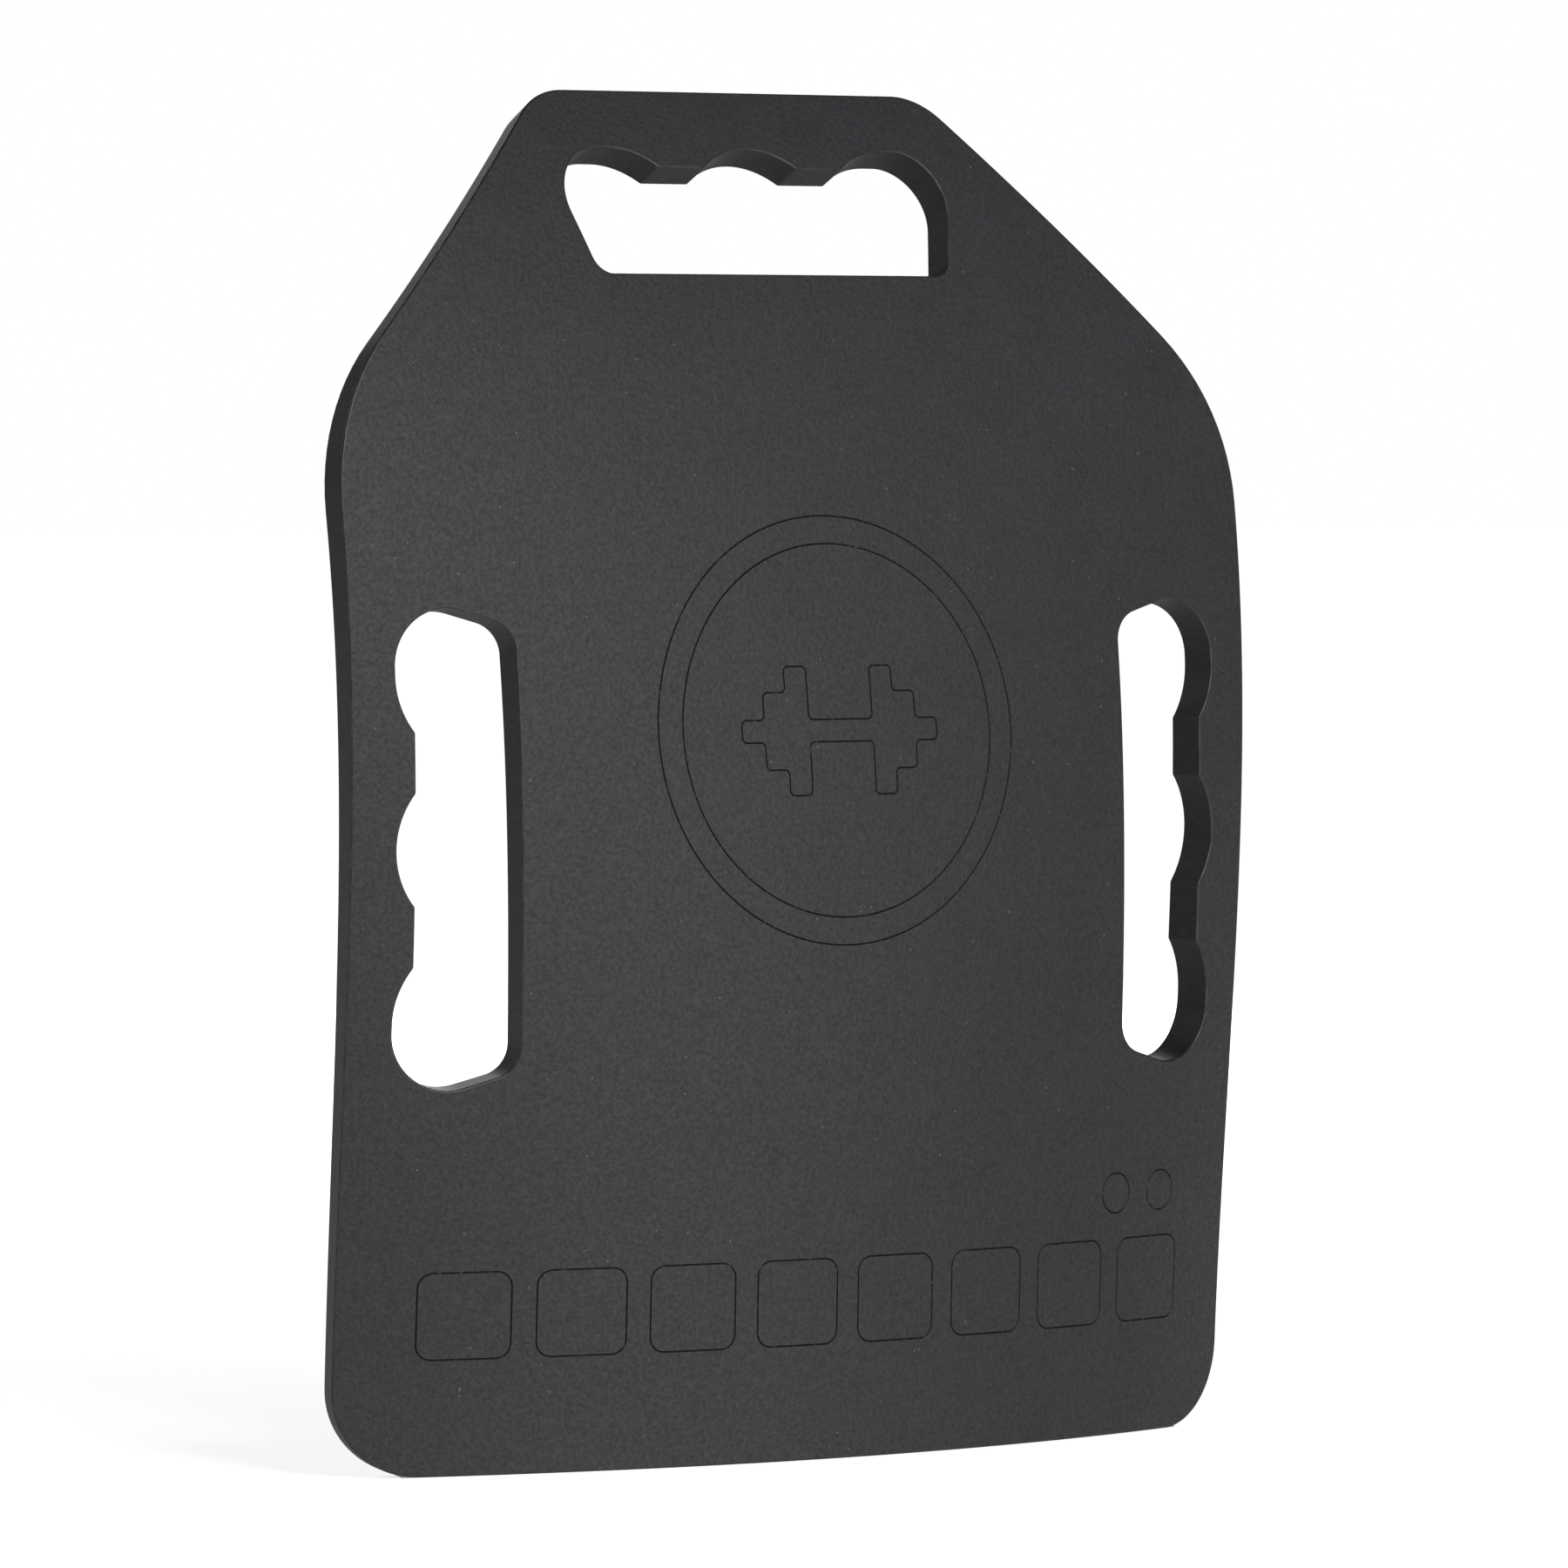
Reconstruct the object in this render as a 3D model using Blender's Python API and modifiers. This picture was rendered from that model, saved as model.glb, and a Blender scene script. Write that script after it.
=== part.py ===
"""Training weight plate: a steel plate with three hand-grip windows, pressed to a curve and coated.

Metres, +Z up. The plate stands on its bottom edge, its bulging front faces -Y and X runs across it.
Both pieces start as a flat sheet with its front face at Y = 0, cut to the outline as seen from the
front. Pressing then lays the front face on a curved surface and keeps every cut square to it.
"""
import math

import bmesh
import bpy
import numpy
from mathutils import Vector
from numpy.polynomial import Polynomial

# Outline of the coated plate, seen from the front.
HEIGHT = 0.320
HALF_WIDTH = 0.1272
BOTTOM_HALF_WIDTH = 0.1262
SHOULDER_HEIGHT = 0.2460
TOP_HALF_WIDTH = 0.0545
BOTTOM_CORNER_RADIUS = 0.0200
SHOULDER_RADIUS = 0.0570
TOP_CORNER_RADIUS = 0.0180
THICKNESS = 0.0089

# Powder coat, the gap that keeps the two meshes apart, and the bare steel edge that it stands on.
COAT = 0.0003
GAP = 0.0003
BARE_EDGE = 0.0006

# Finger scallops, and the two kinds of window. A window's place is the deepest point of its middle
# scallop, and its depth runs from there to the straight side.
SCALLOP_CHORD = 0.0260
SCALLOP_DEPTH = 0.0045
SIDE_WINDOW_PLACE = (0.1159, 0.1442)
SIDE_PITCH = 0.0399
SIDE_DEPTH = 0.0302
SIDE_OUTER_HALF = 0.0595
SIDE_INNER_HALF = 0.0510
SIDE_OUTER_RADIUS = 0.0134
SIDE_INNER_RADIUS = 0.0076
TOP_WINDOW_PLACE = (0.0, 0.3063)
TOP_PITCH = 0.0391
TOP_DEPTH = 0.0296
TOP_OUTER_HALF = 0.0577
TOP_INNER_HALF = 0.0495
TOP_OUTER_RADIUS = 0.0120
TOP_INNER_RADIUS = 0.0052

# Press curve: curvature in 1/m at even steps from the bottom edge to the top, across the plate and up
# its middle line, and how steeply the middle line leans back half way up.
ACROSS = (3.18, 2.42, 1.04, 0.15)
UPRIGHT = (-0.47, 1.08, 2.66, 3.46)
LEAN = 0.0826

# Fineness of the meshes. The sheets reach below the bottom edge, where a level cut ends them.
CELL = 0.015
ARC_STEP = math.radians(14)
CUT_MARGIN = 0.010
BELOW_EDGE = 0.005
POINT_MERGE = 0.00001
SHARP_ANGLE = math.radians(30)

STEEL_LOOK = ((0.33, 0.33, 0.34, 1.0), 0.40, 1.0)
COAT_LOOK = ((0.055, 0.055, 0.060, 1.0), 0.60, 0.0)


def rounded_path(corners):
    """Return the points of a closed path of (x, z, radius) corners, each rounded by an arc."""
    points = []
    for index, (x, z, radius) in enumerate(corners):
        corner = Vector((x, z))
        if radius == 0.0:
            points.append(corner)
            continue
        before = (Vector(corners[index - 1][:2]) - corner).normalized()
        after = (Vector(corners[(index + 1) % len(corners)][:2]) - corner).normalized()
        half_angle = before.angle(after) / 2
        centre = corner + (before + after).normalized() * radius / math.sin(half_angle)
        spoke = corner + before * radius / math.tan(half_angle) - centre
        turn = math.copysign(math.pi - 2 * half_angle, after.cross(before))
        steps = max(2, round(abs(turn) / ARC_STEP))
        for step in range(steps + 1):
            angle = turn * step / steps
            cosine = math.cos(angle)
            sine = math.sin(angle)
            points.append(centre + Vector((spoke.x * cosine - spoke.y * sine,
                                           spoke.x * sine + spoke.y * cosine)))
    return points


def plate_outline(inset):
    """Return the plate's outline, moved in by inset and carried on below the bottom edge."""
    lowest = -BELOW_EDGE - inset
    chamfer = math.atan2(HEIGHT - SHOULDER_HEIGHT, HALF_WIDTH - TOP_HALF_WIDTH)
    shoulder_drop = inset * math.tan((math.pi / 2 - chamfer) / 2)
    top_shift = inset * math.tan(chamfer / 2)
    half = [(BOTTOM_HALF_WIDTH - inset, inset, BOTTOM_CORNER_RADIUS - inset),
            (HALF_WIDTH - inset, SHOULDER_HEIGHT - shoulder_drop, SHOULDER_RADIUS - inset),
            (TOP_HALF_WIDTH - top_shift, HEIGHT - inset, TOP_CORNER_RADIUS - inset)]
    mirrored = [(-x, z, radius) for x, z, radius in reversed(half)]
    path = rounded_path(half + mirrored)
    return [Vector((x, lowest if z < inset + POINT_MERGE else z)) for x, z in path]


def window_outline(pitch, depth, halves, radii, grow):
    """Return a window as (along, deep) points, widened all round by grow."""
    outer_half, inner_half = halves
    outer_radius, inner_radius = radii
    lean = (outer_half - inner_half) / depth
    widen = grow * math.hypot(1.0, lean)
    inner = (inner_half + widen - lean * grow, depth + grow, inner_radius + grow)
    outer = (outer_half + widen + lean * grow, -grow, outer_radius + grow)

    radius = (SCALLOP_CHORD ** 2 / 4 + SCALLOP_DEPTH ** 2) / (2 * SCALLOP_DEPTH)
    reach = radius + grow
    spread = math.acos((radius - SCALLOP_DEPTH + grow) / reach)
    steps = round(spread / ARC_STEP)
    half_scallop = []
    for step in range(steps + 1):
        angle = spread * step / steps
        half_scallop.append((reach * math.sin(angle), radius - reach * math.cos(angle)))

    outer_scallop = [(pitch - along, deep, 0.0) for along, deep in half_scallop]
    middle_scallop = [(along, deep, 0.0) for along, deep in reversed(half_scallop)]
    right = [inner, outer] + outer_scallop + middle_scallop
    left = [(-along, deep, size) for along, deep, size in reversed(right[:-1])]
    return rounded_path(right + left)


def window_outlines(grow):
    """Return the outlines of the three windows in X and Z, each widened all round by grow."""
    side = window_outline(SIDE_PITCH, SIDE_DEPTH, (SIDE_OUTER_HALF, SIDE_INNER_HALF),
                          (SIDE_OUTER_RADIUS, SIDE_INNER_RADIUS), grow)
    top = window_outline(TOP_PITCH, TOP_DEPTH, (TOP_OUTER_HALF, TOP_INNER_HALF),
                         (TOP_OUTER_RADIUS, TOP_INNER_RADIUS), grow)
    place_x, place_z = SIDE_WINDOW_PLACE
    right = [(place_x - deep, place_z + along) for along, deep in side]
    left = [(-x, z) for x, z in right]
    upper = [(TOP_WINDOW_PLACE[0] + along, TOP_WINDOW_PLACE[1] - deep) for along, deep in top]
    return [right, left, upper]


def curve_through(values):
    """Return the curve through values given at even steps from the bottom edge to the top."""
    heights = numpy.linspace(0.0, HEIGHT, len(values))
    return Polynomial.fit(heights, values, len(values) - 1).convert()


def press_curves():
    """Return the curves over height of the bend across the plate and of its middle line."""
    across = curve_through(ACROSS)
    middle = curve_through(UPRIGHT).integ(2, lbnd=HEIGHT / 2)
    return across, middle + Polynomial((-LEAN * HEIGHT / 2, LEAN))


def pressed(point):
    """Return where a point of the flat sheet lies on the pressed plate."""
    across, middle = press_curves()
    x, depth, z = point
    slope_x = across(z) * x
    slope_z = across.deriv()(z) * x ** 2 / 2 + middle.deriv()(z)
    front = Vector((x, across(z) * x ** 2 / 2 + middle(z), z))
    inward = Vector((-slope_x, 1.0, -slope_z)).normalized()
    return front + inward * depth


def make_material(name, look):
    """Return a Principled material with a colour, a roughness and a metallic value."""
    colour, roughness, metallic = look
    material = bpy.data.materials.new(name)
    material.use_nodes = True
    shader = material.node_tree.nodes["Principled BSDF"]
    shader.inputs["Base Color"].default_value = colour
    shader.inputs["Roughness"].default_value = roughness
    shader.inputs["Metallic"].default_value = metallic
    return material


def make_collection(name):
    """Return a new collection linked to the scene."""
    collection = bpy.data.collections.new(name)
    bpy.context.scene.collection.children.link(collection)
    return collection


def mark_cutter(cutter):
    """Keep a cutter out of the render and show it as wires."""
    cutter.hide_render = True
    cutter.display_type = "WIRE"


def evaluated_mesh(source):
    """Return a copy of an object's mesh with its modifiers applied."""
    graph = bpy.context.evaluated_depsgraph_get()
    return bpy.data.meshes.new_from_object(source.evaluated_get(graph), depsgraph=graph)


def make_prism(name, outline, low, high, cutters):
    """Return a closed prism over an outline in X and Z, from low to high along Y."""
    curve = bpy.data.curves.new(name, "CURVE")
    curve.dimensions = "2D"
    curve.fill_mode = "BOTH"
    curve.extrude = (high - low) / 2
    spline = curve.splines.new("POLY")
    spline.points.add(len(outline) - 1)
    for place, (x, z) in zip(spline.points, outline):
        place.co = (x, z, 0.0, 1.0)
    spline.use_cyclic_u = True
    drawing = bpy.data.objects.new(name + "_curve", curve)
    cutters.objects.link(drawing)
    drawing.rotation_euler.x = math.pi / 2
    drawing.location.y = (low + high) / 2
    bpy.context.view_layer.update()
    mesh = evaluated_mesh(drawing)
    mesh.transform(drawing.matrix_world)
    weld_and_point_out(mesh)
    bpy.data.objects.remove(drawing)
    prism = bpy.data.objects.new(name, mesh)
    cutters.objects.link(prism)
    mark_cutter(prism)
    return prism


def weld_and_point_out(mesh):
    """Weld a mesh's loose caps and point its faces outwards."""
    work = bmesh.new()
    work.from_mesh(mesh)
    bmesh.ops.remove_doubles(work, verts=work.verts, dist=POINT_MERGE)
    bmesh.ops.recalc_face_normals(work, faces=work.faces)
    work.to_mesh(mesh)
    work.free()


def make_sheet(name, low, high, collection):
    """Return a flat sheet in square cells, larger than the plate, from low to high along Y."""
    columns = 2 * math.ceil((HALF_WIDTH + CUT_MARGIN) / CELL)
    rows = math.ceil((HEIGHT + 2 * CUT_MARGIN) / CELL)
    bpy.ops.mesh.primitive_grid_add(x_subdivisions=columns, y_subdivisions=rows, size=1.0)
    sheet = bpy.context.object
    sheet.name = name
    sheet.dimensions = (columns * CELL, rows * CELL, 0.0)
    sheet.rotation_euler.x = math.pi / 2
    sheet.location = (0.0, low, rows * CELL / 2 - CUT_MARGIN)
    bpy.ops.object.transform_apply(location=True, rotation=True, scale=True)
    for owner in list(sheet.users_collection):
        owner.objects.unlink(sheet)
    collection.objects.link(sheet)
    solid = sheet.modifiers.new("thickness", "SOLIDIFY")
    solid.thickness = high - low
    solid.offset = -1.0
    return sheet


def add_cut(target, cutter, operation):
    """Add an exact Boolean to a target."""
    cut = target.modifiers.new(cutter.name, "BOOLEAN")
    cut.operation = operation
    cut.object = cutter
    cut.solver = "EXACT"


def cut_sheet(name, inset, collection, cutters):
    """Return a flat sheet cut to the plate's shape, smaller all round by inset."""
    low = inset
    high = THICKNESS - inset
    sheet = make_sheet(name, low, high, collection)
    near = low - CUT_MARGIN
    far = high + CUT_MARGIN
    outline = make_prism(name + "_outline", plate_outline(inset), near, far, cutters)
    add_cut(sheet, outline, "INTERSECT")
    for number, window in enumerate(window_outlines(inset), 1):
        prism = make_prism(f"{name}_window_{number}", window, near, far, cutters)
        add_cut(sheet, prism, "DIFFERENCE")
    return sheet


def depth_shift():
    """Return how far the pressed plate moves along Y to stand centred over the origin."""
    heights = [HEIGHT * step / 100 for step in range(101)]
    front = min(pressed(Vector((0.0, 0.0, height))).y for height in heights)
    back = max(pressed(Vector((x, THICKNESS, z))).y for x, z in plate_outline(0.0) if z > 0)
    return -(front + back) / 2


def press(name, sheet, edge, look, collection, cutters):
    """Press a cut sheet to the curve, end it level at the height of edge and give it its look."""
    shift = Vector((0.0, depth_shift(), 0.0))
    mesh = evaluated_mesh(sheet)
    mesh.name = name
    work = bmesh.new()
    work.from_mesh(mesh)
    bmesh.ops.triangulate(work, faces=work.faces)
    for vertex in work.verts:
        vertex.co = pressed(vertex.co) + shift
    work.to_mesh(mesh)
    work.free()
    mesh.shade_smooth()
    mesh.set_sharp_from_angle(angle=SHARP_ANGLE)
    mesh.materials.clear()
    mesh.materials.append(make_material(name, look))
    piece = bpy.data.objects.new(name, mesh)
    collection.objects.link(piece)

    bpy.ops.mesh.primitive_cube_add(size=1.0)
    ground = bpy.context.object
    ground.name = name + "_ground"
    ground.dimensions = (3 * HALF_WIDTH, HEIGHT, HEIGHT)
    ground.location = (0.0, 0.0, edge - HEIGHT / 2)
    bpy.ops.object.transform_apply(location=True, rotation=True, scale=True)
    for owner in list(ground.users_collection):
        owner.objects.unlink(ground)
    cutters.objects.link(ground)
    mark_cutter(ground)
    add_cut(piece, ground, "DIFFERENCE")
    return piece


def main():
    """Build the steel plate and the powder coat round it."""
    for old in list(bpy.data.objects):
        bpy.data.objects.remove(old, do_unlink=True)
    plate = make_collection("training_weight_plate")
    cutters = make_collection("cutters")

    steel_sheet = cut_sheet("steel_sheet", COAT + GAP, cutters, cutters)
    coat_sheet = cut_sheet("coat_sheet", 0.0, cutters, cutters)
    coat_core = cut_sheet("coat_core", COAT, cutters, cutters)
    add_cut(coat_sheet, coat_core, "DIFFERENCE")
    for sheet in (steel_sheet, coat_sheet, coat_core):
        mark_cutter(sheet)
    bpy.context.view_layer.update()

    press("steel_plate", steel_sheet, 0.0, STEEL_LOOK, plate, cutters)
    press("powder_coat", coat_sheet, BARE_EDGE, COAT_LOOK, plate, cutters)


main()
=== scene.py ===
import math

import bmesh
import bpy
import numpy as np
from bpy.props import FloatProperty, FloatVectorProperty, IntProperty, PointerProperty
from mathutils import Matrix, Vector, geometry, kdtree
from numpy.polynomial import Polynomial


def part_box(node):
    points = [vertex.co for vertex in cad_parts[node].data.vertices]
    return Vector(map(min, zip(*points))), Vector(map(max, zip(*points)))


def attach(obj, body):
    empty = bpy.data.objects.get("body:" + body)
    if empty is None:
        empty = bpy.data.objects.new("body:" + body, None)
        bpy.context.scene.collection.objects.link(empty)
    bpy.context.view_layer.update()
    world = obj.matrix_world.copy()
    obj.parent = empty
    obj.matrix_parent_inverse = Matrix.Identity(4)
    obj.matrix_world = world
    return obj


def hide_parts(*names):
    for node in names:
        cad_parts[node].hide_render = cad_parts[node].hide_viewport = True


bl_info = {
    "name": "Training weight plate",
    "version": (1, 0, 0),
    "blender": (4, 5, 0),
    "location": "3D View > Sidebar > Weight plate",
    "description": "Coated steel weight plate with scalloped grip windows and an engraved mark",
    "category": "Object",
}

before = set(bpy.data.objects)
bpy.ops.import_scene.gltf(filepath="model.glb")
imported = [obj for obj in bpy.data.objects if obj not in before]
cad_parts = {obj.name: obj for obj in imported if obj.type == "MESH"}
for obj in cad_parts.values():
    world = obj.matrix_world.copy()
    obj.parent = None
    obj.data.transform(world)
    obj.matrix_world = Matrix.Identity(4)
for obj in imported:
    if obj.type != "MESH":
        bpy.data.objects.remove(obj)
COAT_LOW, COAT_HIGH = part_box("powder_coat")
HEIGHT = COAT_HIGH.z
STEEL_INSET = COAT_HIGH.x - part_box("steel_plate")[1].x

# Curvature in 1/m at even steps from the bottom edge to the top, across the plate and up its middle
# line, and how steeply the middle line leans back half way up.
BEND_ACROSS = (3.18, 2.42, 1.04, 0.15)
BEND_UPRIGHT = (-0.47, 1.08, 2.66, 3.46)
LEAN = 0.0826

# Points nearer than this are one point.
SAME_POINT = 0.000002
# A triangle no higher than this is only a line.
LINE_HEIGHT = 0.0000002
# How near two points of a filled face may be and still count as two.
FILL_ACCURACY = 1e-9
# How much of a step a run may be too long before it is divided again.
STEP_SLACK = 0.01
# How far grid points stay from an outline, as a share of the grid's cell.
CLEAR_SHARE = 0.45
# The fewest steps round a circle, and how much coarser than the windows the mark's arcs are.
CIRCLE_STEPS = 24
MARK_COARSENESS = 3
# The height of the smaller weights and the roundness of the corners, as shares of the weights' sizes.
SMALL_WEIGHT = 0.6
WEIGHT_ROUNDNESS = 0.2
# A mitre is never longer than this many times the distance moved.
LONGEST_MITRE = 2.0
# The coated rim beside the bare bottom edge, as a share of the steel's inset.
RIM_SHARE = 0.8
# The part of the height over which the bottom edge is levelled.
LEVELLED_SHARE = 0.1
# Faces that meet at more than this angle have a sharp edge between them.
SHARP_ANGLE = math.radians(40)

# Which finish each part of the skin has.
OPEN_FACE, CUT_WALL, ENGRAVED_LINE, ROUNDED_EDGE = range(4)

# Lights round the plate: name, turn and rise in degrees, power in watts.
LIGHTS = (("front_high_light", 0, 30, 28.0),
          ("front_light", 15, 0, 11.4),
          ("left_light", -88, 4, 4.0),
          ("right_light", 105, 0, 4.0),
          ("back_left_light", -135, 30, 5.8),
          ("back_low_light", 180, 4, 1.5),
          ("back_right_light", 150, 15, 14.0))
LIGHT_DISTANCE = 2.2
LIGHT_SIZE = 1.0
LIGHT_TINT = (0.99, 0.985, 1.0)

# The light that rises off the floor: a wide square this far under it.
BOUNCE_SIZE = 6.0
BOUNCE_DROP = 0.01
BOUNCE_TINT = (1.0, 0.975, 0.965)

FLOOR_RADIUS = 60.0
FLOOR_SIDES = 96
WHITE = (1.0, 1.0, 1.0, 1.0)

# The camera's sensor in millimetres, and the nearest and furthest that it sees in metres.
SENSOR_WIDTH = 36.0
NEAREST_SEEN = 0.1
FURTHEST_SEEN = 200.0

# What the top window has that differs from the side windows.
TOP_WINDOW = {"across": 0.0, "up": 0.3063, "pitch": 0.0391, "depth": 0.0296, "outer_half": 0.0577,
              "inner_half": 0.0495, "outer_radius": 0.0120, "inner_radius": 0.0052}


def length(name, description, default):
    """Return a property for a length in metres."""
    return FloatProperty(name=name, description=description, default=default, min=0.0,
                         unit="LENGTH", precision=5)


def colour(name, description, default):
    """Return a property for a linear colour."""
    return FloatVectorProperty(name=name, description=description, default=default, size=4,
                               subtype="COLOR", min=0.0, max=1.0)


# Properties


class PlateSizes(bpy.types.PropertyGroup):
    """Sizes of the plate's outline and section, as seen square to its front."""

    half_width: length("Half width", "Half the width at the shoulders", 0.1272)
    bottom_half_width: length("Bottom half width", "Half the width at the bottom edge", 0.1262)
    shoulder_height: length("Shoulder height", "Height where the chamfers start", 0.2460)
    top_half_width: length("Top half width", "Half the width of the top edge", 0.0545)
    bottom_radius: length("Bottom radius", "Radius of the two bottom corners", 0.0200)
    shoulder_radius: length("Shoulder radius", "Radius of the two shoulders", 0.0570)
    top_radius: length("Top radius", "Radius of the two top corners", 0.0180)
    thickness: length("Thickness", "Thickness of the coated plate", 0.0089)
    coat: length("Coat", "Thickness of the powder coat as drawn", 0.0003)
    edge_radius: length("Edge radius", "Small radius that the coat gives every cut edge", 0.00040)


class WindowSizes(bpy.types.PropertyGroup):
    """Sizes of one kind of hand-grip window."""

    across: length("Across", "Distance of the middle scallop from the plate's middle plane", 0.1159)
    up: length("Up", "Height of the middle scallop's deepest point", 0.1442)
    pitch: length("Pitch", "Distance between finger scallops", 0.0399)
    depth: length("Depth", "Distance from a scallop's deepest point to the straight side", 0.0302)
    outer_half: length("Scalloped half length", "Half the window's length at the scallops", 0.0595)
    inner_half: length("Straight half length", "Half the window's length at the straight side", 0.0510)
    outer_radius: length("Scalloped radius", "Corner radius beside the scallops", 0.0134)
    inner_radius: length("Straight radius", "Corner radius at the straight side", 0.0076)
    chord: length("Scallop chord", "Width of one finger scallop", 0.0260)
    scoop: length("Scallop depth", "Depth of one finger scallop", 0.0045)
    crest_radius: length("Crest radius", "Radius where a scallop meets the flat beside it", 0.0012)


class MarkSizes(bpy.types.PropertyGroup):
    """Sizes of the plain engraved mark."""

    groove_width: length("Groove width", "Width of the engraved line", 0.00042)
    groove_depth: length("Groove depth", "Depth of the engraved line", 0.00020)
    ring_height: length("Ring height", "Height of the rings' centre", 0.1700)
    ring_radius: length("Ring radius", "Radius of the outer ring", 0.0500)
    ring_gap: length("Ring gap", "Distance between the two rings", 0.0065)
    bell_grip: length("Grip length", "Length of the bar between the weights", 0.0180)
    bell_bar: length("Bar width", "Width of the bar", 0.0052)
    bell_weight: length("Weight width", "Width of each weight on the bar", 0.0062)
    bell_height: length("Weight height", "Height of the larger weights", 0.0300)
    row_height: length("Row height", "Height of the row's lower side", 0.0270)
    row_half: length("Row half length", "Half the length of the row of boxes", 0.1080)
    box_tall: length("Box height", "Height of one box", 0.0200)
    box_gap: length("Box gap", "Space between two boxes", 0.0060)
    box_radius: length("Box radius", "Corner radius of a box", 0.0035)
    boxes: IntProperty(name="Boxes", description="Number of boxes in the row", default=8, min=1)
    stud_height: length("Stud height", "Height of the two small rings' centres", 0.0580)
    stud_radius: length("Stud radius", "Radius of each small ring", 0.0048)
    stud_across: length("Stud across", "Distance of the outer small ring from the middle", 0.1010)
    stud_pitch: length("Stud pitch", "Distance between the two small rings", 0.0160)


class MeshFineness(bpy.types.PropertyGroup):
    """How finely the skin is divided."""

    cell: length("Cell", "Distance between points on the open faces", 0.0031)
    run: length("Run", "Longest straight run between points along a cut", 0.0014)
    line_run: length("Line run", "Longest straight run between points along an engraved line", 0.0009)
    turn: FloatProperty(name="Turn", description="Angle between points on an arc",
                        default=math.radians(4), unit="ROTATION")
    margin: length("Margin", "Flat strip beside each edge and line", 0.00035)
    round_steps: IntProperty(name="Round steps", description="Steps round a small edge", default=4,
                             min=1)


class Finishes(bpy.types.PropertyGroup):
    """Colours of the finishes."""

    # On the open faces the relief lays these two: the darker colour in the hollows is painted shade and
    # the lighter colour on the crests is painted highlight, mixed with a random cloudy tone. On the
    # rounded edges they are only a random tone.
    coat_dark: colour("Coat, hollows", "Colour in the hollows of the texture",
                      (0.0105, 0.0102, 0.0121, 1.0))
    coat_light: colour("Coat, crests", "Colour on the crests of the texture",
                       (0.0345, 0.0333, 0.0388, 1.0))
    # Painted glints: the few pale specks stand in for light glinting off the coat.
    coat_painted_glint: colour("Coat, flecks", "Colour of the few pale flecks", (0.12, 0.12, 0.125, 1.0))
    wall_dark: colour("Cut wall, dark", "Darker colour on the cut walls",
                      (0.0080, 0.0073, 0.0098, 1.0))
    wall_light: colour("Cut wall, light", "Lighter colour on the cut walls",
                       (0.021, 0.0195, 0.0240, 1.0))
    # Painted shade: the dark colour inside the engraved lines stands in for the shade in the grooves.
    line_painted_shade: colour("Engraved line", "Colour inside the engraved lines",
                      (0.0035, 0.0034, 0.0038, 1.0))
    # Painted glints: pale spots along the engraved lines stand in for light catching their rims.
    line_painted_glint: colour("Engraved line, glints", "Colour of the worn spots along the engraved lines",
                       (0.060, 0.059, 0.063, 1.0))
    steel: colour("Steel", "Colour of the bare ground steel", (0.42, 0.42, 0.43, 1.0))
    steel_shade: colour("Steel, scratches", "Colour in the scratches of the steel",
                        (0.24, 0.24, 0.25, 1.0))
    floor: colour("Floor", "Colour of the floor", (0.93, 0.93, 0.93, 1.0))


class StageSettings(bpy.types.PropertyGroup):
    """Camera and light."""

    distance: FloatProperty(name="Camera distance", description="Distance from the plate's middle",
                            default=2.4925, unit="LENGTH")
    turn: FloatProperty(name="Camera turn", description="How far the camera stands round to the left",
                        default=math.radians(34.542), unit="ROTATION")
    rise: FloatProperty(name="Camera rise", description="How far the camera looks down",
                        default=math.radians(1.580), unit="ROTATION")
    roll: FloatProperty(name="Camera roll", description="How far the camera is rolled",
                        default=math.radians(-0.2747), unit="ROTATION")
    slide_across: FloatProperty(name="Slide across", description="Shift of the view sideways",
                                default=0.014090, unit="LENGTH")
    slide_up: FloatProperty(name="Slide up", description="Shift of the view upwards",
                            default=0.002530, unit="LENGTH")
    view_width: FloatProperty(name="View width", description="Width seen at the plate's middle",
                              default=0.36550, unit="LENGTH")
    world_light: FloatProperty(name="World light", description="Strength of the even light",
                               default=0.03)
    bounce: FloatProperty(name="Bounce", description="Brightness of the light that rises off the floor",
                          default=0.58)
    floor_near: FloatProperty(name="Floor, near", description="Floor's own brightness at the plate",
                              default=0.68)
    floor_reach: length("Floor reach", "Distance at which the floor is plain white", 2.0)


class PlateSettings(bpy.types.PropertyGroup):
    """Everything that a user can change on the weight plate."""

    plate: PointerProperty(type=PlateSizes)
    side_window: PointerProperty(type=WindowSizes)
    top_window: PointerProperty(type=WindowSizes)
    mark: PointerProperty(type=MarkSizes)
    mesh: PointerProperty(type=MeshFineness)
    finish: PointerProperty(type=Finishes)
    stage: PointerProperty(type=StageSettings)


# Outlines in the flat, as rows of (x, z)


def rounded_path(corners, turn_step):
    """Return the points of a closed path of (x, z, radius) corners, each rounded by an arc."""
    points = []
    for index, (x, z, radius) in enumerate(corners):
        corner = Vector((x, z))
        if radius == 0.0:
            points.append(corner)
            continue
        before = (Vector(corners[index - 1][:2]) - corner).normalized()
        after = (Vector(corners[(index + 1) % len(corners)][:2]) - corner).normalized()
        half_angle = before.angle(after) / 2
        centre = corner + (before + after).normalized() * radius / math.sin(half_angle)
        spoke = corner + before * radius / math.tan(half_angle) - centre
        turn = math.copysign(math.pi - 2 * half_angle, after.cross(before))
        steps = max(2, math.ceil(abs(turn) / turn_step))
        for step in range(steps + 1):
            points.append(centre + Matrix.Rotation(turn * step / steps, 2) @ spoke)
    return np.array(points)


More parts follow.
